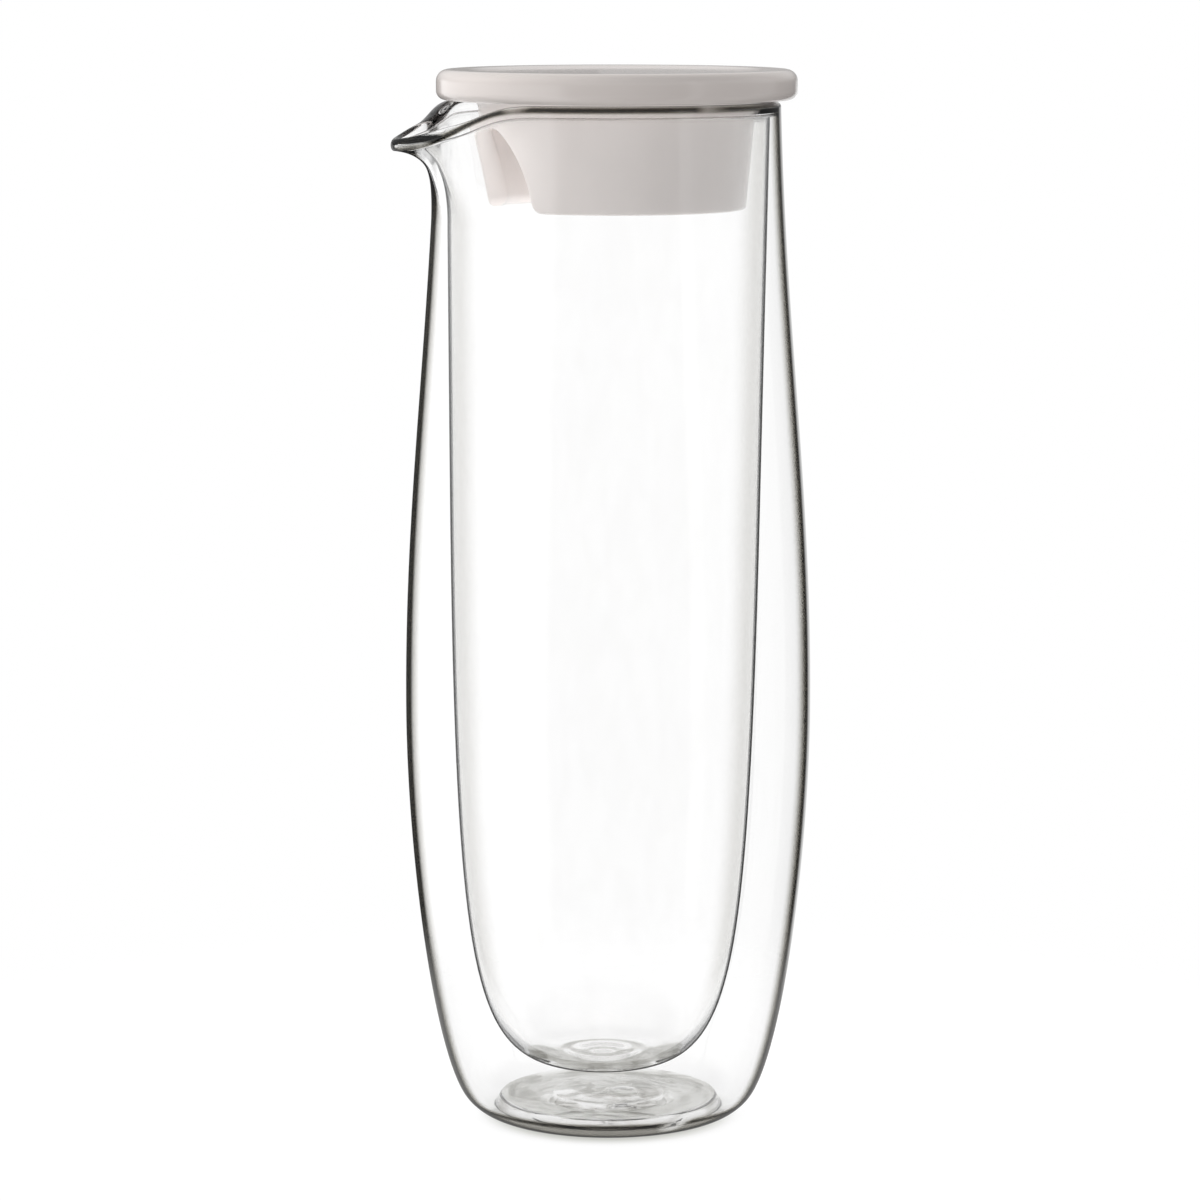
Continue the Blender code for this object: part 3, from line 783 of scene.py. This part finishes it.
def wall_marks(size, profile, face, foot_opening):
    """Marks of the walls' rings that the glass reads to place its painted shade, by the names of their
    attributes.
    """
    radius, height = profile.T
    on_jacket = face == JACKET_FACE
    on_liner = face == LINER_FACE
    # Painted dark bands in the rim bead and at the heel
    rim_shade_band = bell((size.rim_height - size.band_depth - height) / size.band_height, 4)
    bead_middle = size.neck_radius - (size.jacket_wall + size.neck_space + size.liner_wall) / 2
    above_weld = (height < size.belly_height) & (radius > foot_opening)
    outward = on_jacket & ((radius > bead_middle) | above_weld)
    return {
        JACKET_FACE: on_jacket,
        LINER_FACE: on_liner,
        LINER_SIDE: on_liner * smooth_step(height, *SIDE_HEIGHTS),
        SHADE_BAND_FACE: outward * (rim_shade_band + heel_shade(size, height)),
    }


class CARAFE_OT_walls(bpy.types.Operator):
    """Make the fused glass walls with their rim bead and pouring lip"""

    bl_idname = "carafe.walls"
    bl_label = "Glass walls"

    def execute(self, context):
        size = context.scene.carafe_walls
        foot_opening = context.scene.carafe_base.radius
        profile, face = wall_profile(size, foot_opening)
        rings = pull_lip(size, profile, lip_turns(size))
        lean_liner(size, rings, profile, face)
        mesh = ring_mesh("glass_walls", rings)
        for name, marks in wall_marks(size, profile, face, foot_opening).items():
            mark_rings(mesh, name, marks, size.columns)
        glass = glass_material(
            "blown_glass",
            context.scene.carafe_finishes,
            drawn_down,
            wave_scale=26.0,
            wave_height=0.00002,
            roughness=0.0,
            streaks=0.004,
        )
        piece = new_piece("glass_walls", mesh, glass)
        clear_weld(mesh, np.flatnonzero(face == JACKET_FACE)[-1], size.columns)
        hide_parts("outer_shell", "inner_vessel")
        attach(piece, "carafe")
        return {"FINISHED"}


def base_profile(size, walls):
    """Section of the disc, from the middle of its domed top out to the weld, and back along its underside.

    The second value is the number of points on the top.
    """
    outer_weld, inner_weld = [line[-1][1] for line in foot_cut(walls, size.radius)]
    run = np.linspace(0, size.radius, DISC_RINGS)
    dome = 1 - smooth_step(run, size.dome_inside, size.dome_outside)
    groove = size.groove_depth * bell((run - size.pad_radius) / size.groove_width)
    level = size.thickness + (size.pad_top - size.thickness) * dome - groove
    edge = smooth_step(run, size.radius - size.edge_width, size.radius)
    top = np.column_stack([run, level + (inner_weld - level) * edge])
    outline = jacket_outline(walls)
    lower = outline[(outline[:, 0] < size.radius - SAME_PLACE) & (outline[:, 1] < size.thickness)]
    underside = flat_line(outline[-1][0], 0, 0, count=36)[1:]
    return np.vstack([top, [[size.radius, outer_weld]], lower, underside]), len(top)


class CARAFE_OT_base(bpy.types.Operator):
    """Make the glass disc that closes the foot, with its raised pad and the dimple of the vent's drop"""

    bl_idname = "carafe.base"
    bl_label = "Glass base"

    def execute(self, context):
        size = context.scene.carafe_base
        walls = context.scene.carafe_walls
        profile, top_count = base_profile(size, walls)
        turns = lip_turns(walls)
        radius, height = profile[:, :1], profile[:, 1:]
        rings = np.stack([-radius * np.cos(turns), radius * np.sin(turns), height + 0 * turns], axis=-1)
        away = np.hypot(rings[:, :, 0] - size.drop_offset, rings[:, :, 1]) / size.drop_radius
        on_underside = rings[:, :, 2] < size.drop_height / 10
        rings[:, :, 2] += on_underside * size.drop_height * bell(away, 4)
        mesh = ring_mesh("glass_base", rings)
        # Marks that place painted edge shade under the weld and the painted dark band at the heel
        below_weld = np.arange(len(profile)) >= top_count
        mark_rings(mesh, JACKET_FACE, below_weld, walls.columns)
        heel = smooth_step(profile[:, 0], walls.foot_radius, walls.foot_radius + size.edge_width)
        mark_rings(mesh, SHADE_BAND_FACE, below_weld * heel * heel_shade(walls, profile[:, 1]), walls.columns)
        glass = glass_material(
            "pressed_glass",
            context.scene.carafe_finishes,
            drawn_round,
            wave_scale=90.0,
            wave_height=0.0001,
            roughness=0.03,
            streaks=0.38,
        )
        piece = new_piece("glass_base", mesh, glass)
        clear_weld(mesh, top_count - 1, walls.columns)
        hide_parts("base_disc", "vent_seal")
        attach(piece, "carafe")
        return {"FINISHED"}


def hem_line(size, reference):
    """Half of the skirt's lower edge, unrolled at this radius: places on it, and the ways up into the wall.

    It goes from the top of the arch down its side, round the corner and along to the back.
    """
    t = np.linspace(math.pi / 2, 0.0, ARCH_POINTS)
    across = size.arch_half_width * np.cos(t)
    run = reference * np.arcsin(across / reference)
    height = size.arch_height * np.sin(t)
    inward = np.column_stack([across / size.arch_half_width**2, height / size.arch_height**2])
    arch = np.column_stack([run, height])
    keep = height > size.arch_corner
    corner_run = np.interp(size.arch_corner, height[::-1], run[::-1])
    turn = np.radians(np.linspace(180, 270, CORNER_POINTS))
    corner_centre = np.array([corner_run + size.arch_corner, size.arch_corner])
    spokes = np.column_stack([np.cos(turn), np.sin(turn)])
    back = flat_line(corner_centre[0], reference * math.pi, 0, count=BACK_POINTS)[1:]
    points = np.vstack([arch[keep], corner_centre + size.arch_corner * spokes, back])
    inward = np.vstack([inward[keep], -spokes, np.tile([0.0, 1.0], (len(back), 1))])
    return points, inward / np.linalg.norm(inward, axis=1)[:, None]


def mirrored(half, sign):
    """Both halves of a line that starts in the middle and ends at the back, whose end is shared."""
    other = half[1:-1][::-1] * sign
    return np.concatenate([half, other])


def plate_line(size, floor):
    """Section of the plate, from the middle of its dished top round to the fillet under it."""
    dish = size.radius - size.dish_border
    top_centre = size.radius - size.top_rounding
    low_centre = size.radius - size.edge_rounding
    fillet_centre = size.skirt_radius + size.skirt_fillet
    slope = np.linspace(0, 1, 10)
    dish_rise = np.column_stack(
        [dish - size.dish_slope * (1 - slope), floor + size.dish_depth * smooth_step(slope, 0, 1)]
    )
    top_edge = arc((top_centre, size.thickness - size.top_rounding), size.top_rounding, 90, 0, count=10)
    low_edge = arc((low_centre, size.edge_rounding), size.edge_rounding, 0, -90, count=9)
    fillet = arc((fillet_centre, -size.skirt_fillet), size.skirt_fillet, 90, 180, count=8)
    middle = flat_line(0, dish_rise[0][0], floor, count=16)[:-1]
    border = flat_line(dish, top_centre, size.thickness, count=6)[1:-1]
    under = flat_line(low_edge[-1][0], fillet_centre, 0, count=6)[1:-1]
    return np.vstack([middle, dish_rise, border, top_edge, low_edge, under, fillet[:-1]])


def hollow_line(size, roof, depth):
    """Section of the hollow's roof, from the end of its wall round the fillet to the middle."""
    radius = size.skirt_radius - size.skirt_wall - size.skirt_taper * (size.roof_fillet - roof) / depth
    vault = arc((radius - size.roof_fillet, roof - size.roof_fillet), size.roof_fillet, 0, 90, count=9)
    return np.vstack([vault[1:], flat_line(vault[-1][0], 0, roof, count=10)[1:]])


def lid_rings(size, rest_height, depth):
    """Rings of the lid, from the middle of its dished top round to the middle of the hollow's roof."""
    floor = size.thickness - size.dish_depth
    roof = floor - size.roof_thickness
    # The skirt is unrolled at the radius of its lower end
    reference = size.skirt_radius - size.skirt_taper
    hem, inward = hem_line(size, reference)
    steps = np.linalg.norm(np.diff(hem, axis=0), axis=1)
    travelled = np.concatenate([[0.0], np.cumsum(steps)])
    root_run = travelled / travelled[-1] * reference * math.pi
    root_turn = mirrored(root_run / reference, -1)

    def plate_ring(radius, height):
        """A level ring of the plate."""
        return np.column_stack(
            [-radius * np.cos(root_turn), radius * np.sin(root_turn), np.full(len(root_turn), height)]
        )

    def skirt_ring(run, height, inset):
        """A ring in the skirt's wall at these unrolled places, this far inside its outer face."""
        radius = size.skirt_radius - size.skirt_taper * (depth - height) / depth - inset
        turn = run / reference
        across = reference * np.sin(np.minimum(turn, SQUARE_CUT[1]))
        square = np.arcsin(np.clip(across / radius, 0, 1)) - np.arcsin(across / reference)
        turn = mirrored(turn + square * (1 - smooth_step(turn, *SQUARE_CUT)), -1)
        radius = mirrored(radius, 1)
        return np.column_stack([-radius * np.cos(turn), radius * np.sin(turn), mirrored(height, 1) - depth])

    def fan(root_height, inset, rounding, shares):
        """Rings from under the plate to the start of the hem's rounding."""
        start = np.column_stack([root_run, np.full(len(root_run), root_height)])
        end = hem + rounding * inward
        return [skirt_ring(*((1 - part) * start + part * end).T, inset) for part in shares]

    rings = [plate_ring(radius, height) for radius, height in plate_line(size, floor)]
    shares = np.linspace(0, 1, SKIRT_RINGS)
    rings += fan(depth - size.skirt_fillet, 0.0, size.hem_rounding, shares)
    quarter = np.linspace(0, 1, HEM_RINGS)[1:] * math.pi / 2
    for t in quarter:
        rise = size.hem_rounding * (1 - math.sin(t))
        rings.append(skirt_ring(*(hem + rise * inward).T, size.hem_rounding * (1 - math.cos(t))))
    for t in quarter[::-1]:
        inset = size.skirt_wall - size.hem_inside * (1 - math.cos(t))
        rise = size.hem_inside * (1 - math.sin(t))
        rings.append(skirt_ring(*(hem + rise * inward).T, inset))
    rings += fan(depth + roof - size.roof_fillet, size.skirt_wall, size.hem_inside, shares[::-1])
    rings += [plate_ring(radius, height) for radius, height in hollow_line(size, roof, depth)]
    return np.array(rings) + np.array([LID_AXIS, 0.0, rest_height])


class CARAFE_OT_lid(bpy.types.Operator):
    """Make the porcelain lid with its dished plate and its arched skirt"""

    bl_idname = "carafe.lid"
    bl_label = "Porcelain lid"

    def execute(self, context):
        size = context.scene.carafe_lid
        rest_height = LID_HIGH.z - size.thickness
        rings = lid_rings(size, rest_height, rest_height - LID_LOW.z)
        porcelain = porcelain_material("glazed_porcelain", context.scene.carafe_finishes, rest_height)
        piece = new_piece("porcelain_lid", ring_mesh("porcelain_lid", rings), porcelain)
        shadow_casters().objects.link(piece)
        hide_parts("lid")
        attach(piece, "lid")
        return {"FINISHED"}


def floor_material(setting):
    """Pale floor that fades into the surround and keeps the carafe's shadow, with a painted shadow of
    weaker glow under the foot.
    """
    material, bench = new_material("pale_floor")
    path = bench.add("ShaderNodeLightPath").outputs
    away = bench.vector("LENGTH", bench.add("ShaderNodeTexCoord").outputs["Object"])
    # Painted shadow: the floor glows less, and a little warmer, under the foot
    painted_shadow = bench.ramp(away, *PAINTED_SHADOW_RADII, PAINTED_SHADOW_GLOW, setting.floor_glow)
    straight = bench.math("SUBTRACT", 1.0, path["Is Transmission Ray"])
    mirrored_ray = bench.math("MULTIPLY", path["Is Glossy Ray"], straight)
    dimmed = bench.ramp(mirrored_ray, 0.0, 1.0, 1.0, MIRRORED_GLOW)
    blue = bench.ramp(away, *PAINTED_SHADOW_RADII, PAINTED_SHADOW_BLUE, 1.0)
    tone = bench.add("ShaderNodeCombineColor", Red=1.0, Green=1.0, Blue=blue).outputs[0]
    glow = bench.add("ShaderNodeEmission", Color=tone, Strength=bench.math("MULTIPLY", painted_shadow, dimmed))
    shadowed = bench.add("ShaderNodeBsdfDiffuse", Color=SEEN_GREY)
    seen = bench.add("ShaderNodeAddShader")
    bench.feed_all(seen, (shadowed.outputs[0], glow.outputs[0]))
    plain = bench.add("ShaderNodeBsdfDiffuse", Color=BOUNCE_GREY)
    by_glass = bench.math("MAXIMUM", path["Is Glossy Ray"], path["Is Transmission Ray"])
    is_seen = bench.math("MAXIMUM", path["Is Camera Ray"], by_glass)
    surface = bench.mix_shader(is_seen, plain.outputs[0], seen.outputs[0])
    fade_start, fade_end = (setting.floor_radius * part for part in FLOOR_FADE)
    fade = bench.ramp(away, fade_start, fade_end, 0.0, 1.0)
    clear = bench.add("ShaderNodeBsdfTransparent")
    bench.add("ShaderNodeOutputMaterial", Surface=bench.mix_shader(fade, surface, clear.outputs[0]))
    return material


def light_panel(bench, turn, height, start, end, soft, strength, top):
    """A bright panel of the surround between two bearings and below a height, with soft edges."""
    edge = math.sin(math.radians(soft))
    rise = bench.ramp(turn, math.radians(start - soft), math.radians(start + soft), 0.0, 1.0)
    fall = bench.ramp(turn, math.radians(end - soft), math.radians(end + soft), strength, 0.0)
    under = bench.ramp(height, top - edge, top + edge, 1.0, 0.0)
    return bench.math("MULTIPLY", bench.math("MULTIPLY", rise, fall), under)


def surround(setting):
    """World that is white behind the carafe, with soft light from above and panels that gloss mirrors."""
    world = bpy.data.worlds.new("studio_surround")
    world.use_nodes = True
    bpy.context.scene.world = world
    bench = NodeBench(world.node_tree)
    path = bench.add("ShaderNodeLightPath").outputs
    way = bench.add("ShaderNodeTexCoord").outputs["Generated"]
    height = bench.add("ShaderNodeSeparateXYZ", Vector=way).outputs["Z"]
    from_camera = bench.add(
        "ShaderNodeVectorRotate", {"rotation_type": "Z_AXIS"}, Vector=way, Angle=-setting.camera_heading
    )
    split = bench.add("ShaderNodeSeparateXYZ", Vector=from_camera.outputs[0]).outputs
    turn = bench.math("ARCTAN2", split["X"], bench.math("MULTIPLY", split["Y"], -1.0))
    mirrored_level = bench.ramp(height, *MIRROR_RISE, setting.mirror_low, setting.mirror_high)
    for panel in MIRRORED_PANELS:
        mirrored_level = bench.math("ADD", mirrored_level, light_panel(bench, turn, height, *panel))
    # Rays that have met no matt surface yet see the panels and the white behind the glass
    first = bench.math("LESS_THAN", path["Diffuse Depth"], 0.5)
    mirror_ray = bench.math("MULTIPLY", path["Is Glossy Ray"], first)
    glass_ray = bench.math("MULTIPLY", path["Is Transmission Ray"], first)
    fill = bench.ramp(height, *FILL_RISE, setting.lower_fill, setting.upper_fill)
    through = bench.ramp(height, *THROUGH_FALL, *THROUGH_LEVELS)
    result = bench.add("ShaderNodeBackground", Color=WHITE, Strength=fill).outputs[0]
    for ray, level in ((mirror_ray, mirrored_level), (glass_ray, through), (path["Is Camera Ray"], 1.0)):
        light = bench.add("ShaderNodeBackground", Color=WHITE, Strength=level)
        result = bench.mix_shader(ray, result, light.outputs[0])
    bench.add("ShaderNodeOutputWorld", Surface=result)


class CARAFE_OT_stage(bpy.types.Operator):
    """Make the camera, the pale floor, the soft lights and the white surround"""

    bl_idname = "carafe.stage"
    bl_label = "Stage"

    def execute(self, context):
        setting = context.scene.carafe_stage
        scene = context.scene
        self.add_camera(scene, setting)
        self.add_floor(setting)
        for name, place in SOFT_LIGHTS.items():
            self.add_light(scene, setting, name, *place)
        surround(setting)
        scene.view_settings.view_transform = "Standard"
        scene.cycles.max_bounces = 32
        scene.cycles.transmission_bounces = 32
        scene.cycles.glossy_bounces = 12
        scene.cycles.transparent_max_bounces = 16
        return {"FINISHED"}

    def add_camera(self, scene, setting):
        """Camera at the photograph's place, looking a little down."""
        camera = bpy.data.objects.new("camera", bpy.data.cameras.new("camera"))
        scene.collection.objects.link(camera)
        heading = setting.camera_heading
        forward = np.array([-math.sin(heading), math.cos(heading)])
        left = np.array([-math.cos(heading), -math.sin(heading)])
        place = -setting.camera_distance * forward + setting.camera_side_step * left
        camera.location = (*place, setting.camera_height)
        camera.rotation_euler = (math.pi / 2 - setting.camera_pitch, 0.0, heading)
        camera.data.lens = setting.camera_lens
        camera.data.sensor_width = 36.0
        camera.data.clip_start = 0.05
        camera.data.clip_end = 50.0
        scene.camera = camera

    def add_floor(self, setting):
        """Round floor just under the foot."""
        turns = np.linspace(0, math.tau, FLOOR_CORNERS, endpoint=False)
        ring = setting.floor_radius * np.column_stack([np.cos(turns), np.sin(turns), 0 * turns])
        mesh = bpy.data.meshes.new("floor")
        mesh.from_pydata(ring.tolist(), [], [list(range(len(ring)))])
        floor = new_piece("floor", mesh, floor_material(setting))
        floor.location.z = -setting.floor_drop

    def add_light(self, scene, setting, name, bearing, rise, distance, width, height, power):
        """Soft light that shows in no mirror. Only the opaque pieces shade it, as glass lets it through."""
        lamp = bpy.data.lights.new(name, "AREA")
        lamp.shape = "RECTANGLE"
        lamp.size = width
        lamp.size_y = height
        lamp.energy = power
        light = bpy.data.objects.new(name, lamp)
        scene.collection.objects.link(light)
        turn = setting.camera_heading + math.radians(bearing)
        tilt = math.radians(rise)
        level = distance * math.cos(tilt)
        light.location = (
            level * math.sin(turn),
            -level * math.cos(turn),
            LID_LOW.z + distance * math.sin(tilt),
        )
        light.rotation_euler = (math.pi / 2 - tilt, 0.0, turn)
        light.visible_glossy = False
        light.visible_transmission = False
        light.visible_camera = False
        light.light_linking.blocker_collection = shadow_casters()


class CARAFE_PT_panel(bpy.types.Panel):
    """List of the carafe's pieces and their sizes"""

    bl_idname = "CARAFE_PT_panel"
    bl_label = "Carafe"
    bl_space_type = "VIEW_3D"
    bl_region_type = "UI"
    bl_category = "Carafe"

    def draw(self, context):
        for operator in OPERATORS:
            self.layout.operator(operator.bl_idname)
        for name, group in GROUPS.items():
            box = self.layout.box()
            box.label(text=group.__name__)
            settings = getattr(context.scene, name)
            for key in group.__annotations__:
                box.prop(settings, key)


GROUPS = {
    "carafe_walls": CarafeWallSizes,
    "carafe_base": CarafeBaseSizes,
    "carafe_lid": CarafeLidSizes,
    "carafe_finishes": CarafeFinishes,
    "carafe_stage": CarafeStageSettings,
}
OPERATORS = (CARAFE_OT_walls, CARAFE_OT_base, CARAFE_OT_lid, CARAFE_OT_stage)


def register():
    for group in GROUPS.values():
        bpy.utils.register_class(group)
    for name, group in GROUPS.items():
        setattr(bpy.types.Scene, name, PointerProperty(type=group))
    for operator in OPERATORS:
        bpy.utils.register_class(operator)
    bpy.utils.register_class(CARAFE_PT_panel)


def unregister():
    bpy.utils.unregister_class(CARAFE_PT_panel)
    for operator in reversed(OPERATORS):
        bpy.utils.unregister_class(operator)
    for name in reversed(GROUPS):
        delattr(bpy.types.Scene, name)
    for group in reversed(GROUPS.values()):
        bpy.utils.unregister_class(group)


def main():
    register()
    bpy.ops.carafe.stage()
    bpy.ops.carafe.walls()
    bpy.ops.carafe.base()
    bpy.ops.carafe.lid()


if __name__ == "__main__":
    main()
